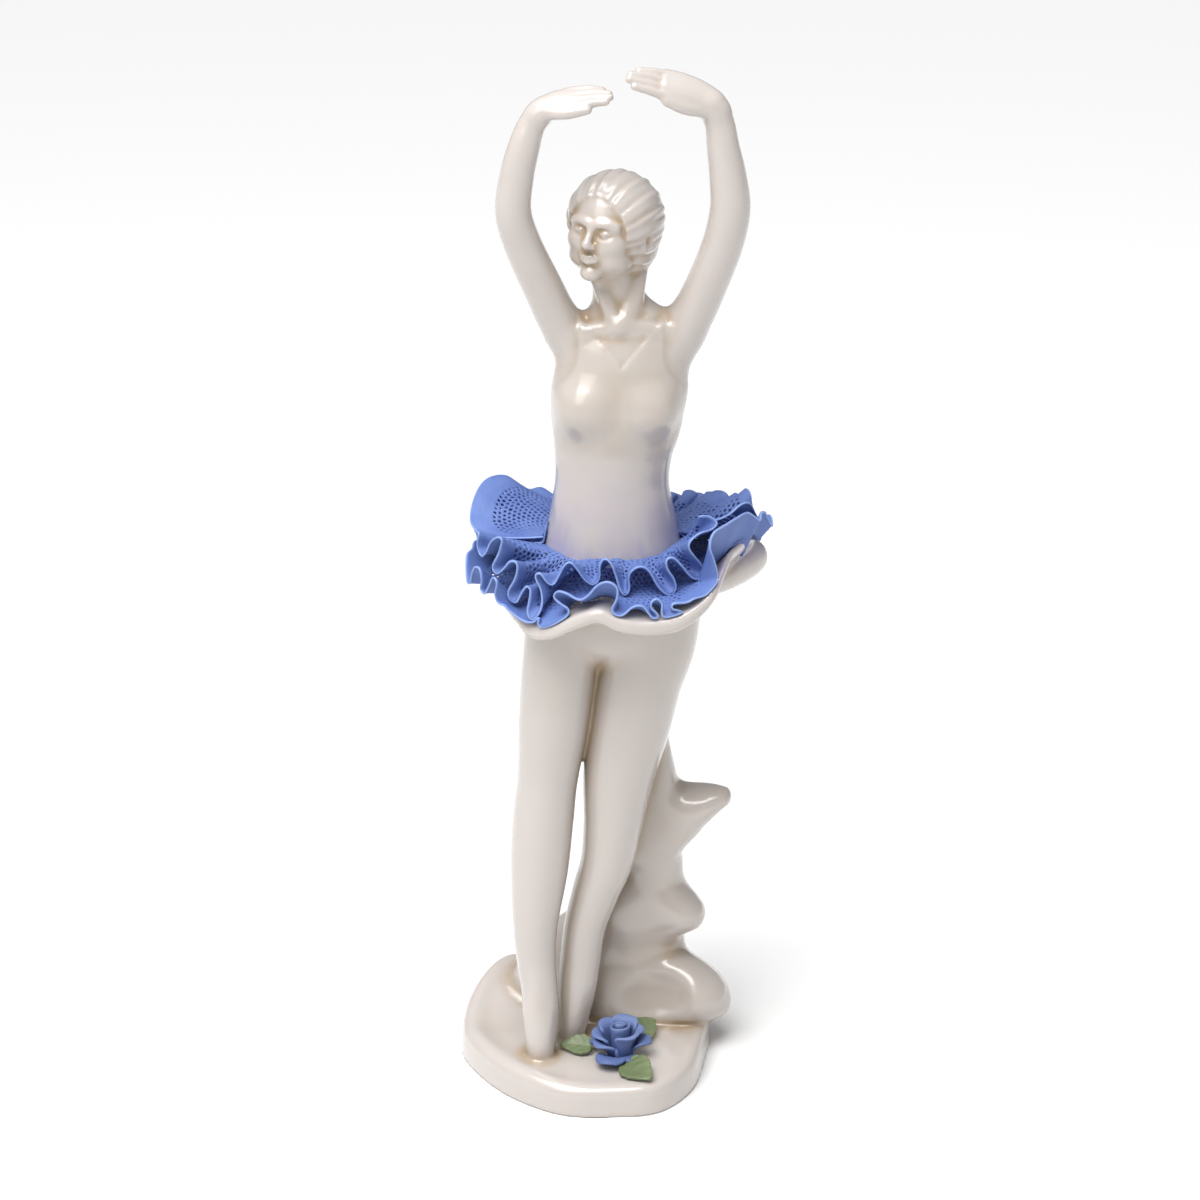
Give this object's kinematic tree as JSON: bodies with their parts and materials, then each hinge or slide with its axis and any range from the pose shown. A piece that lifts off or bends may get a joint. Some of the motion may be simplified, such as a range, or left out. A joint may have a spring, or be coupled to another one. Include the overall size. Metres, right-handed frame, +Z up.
{
  "type": "ballerina figurine",
  "caption": "Decorative glazed white porcelain ballerina on pointe, arms raised in a ring, with a pleated blue lace skirt, a rock behind the legs and a blue rose on the base.",
  "frame": {"origin": "on the underside of the base, below the middle of the bounding box", "axes": "+Z up the figure, -Y the way the chest faces, +X to a viewer's right who looks at the chest"},
  "size_m": [0.0748, 0.0658, 0.2516],
  "materials": {
    "porcelain": "clear gloss glaze over white porcelain, warm in the creases",
    "lace": "fired lace net, blue, soft sheen",
    "petal": "hand-made porcelain petals, blue, matte",
    "leaf": "hand-made porcelain leaves, green, light sheen"
  },
  "bodies": {
    "root": {"dancer_casting": "porcelain", "lace_ruffle_lower": "lace", "lace_ruffle_upper": "lace", "lace_ruffle_back": "lace", "rose": "petal", "leaf_left": "leaf", "leaf_back": "leaf", "leaf_front": "leaf"}
  },
  "joints": []
}
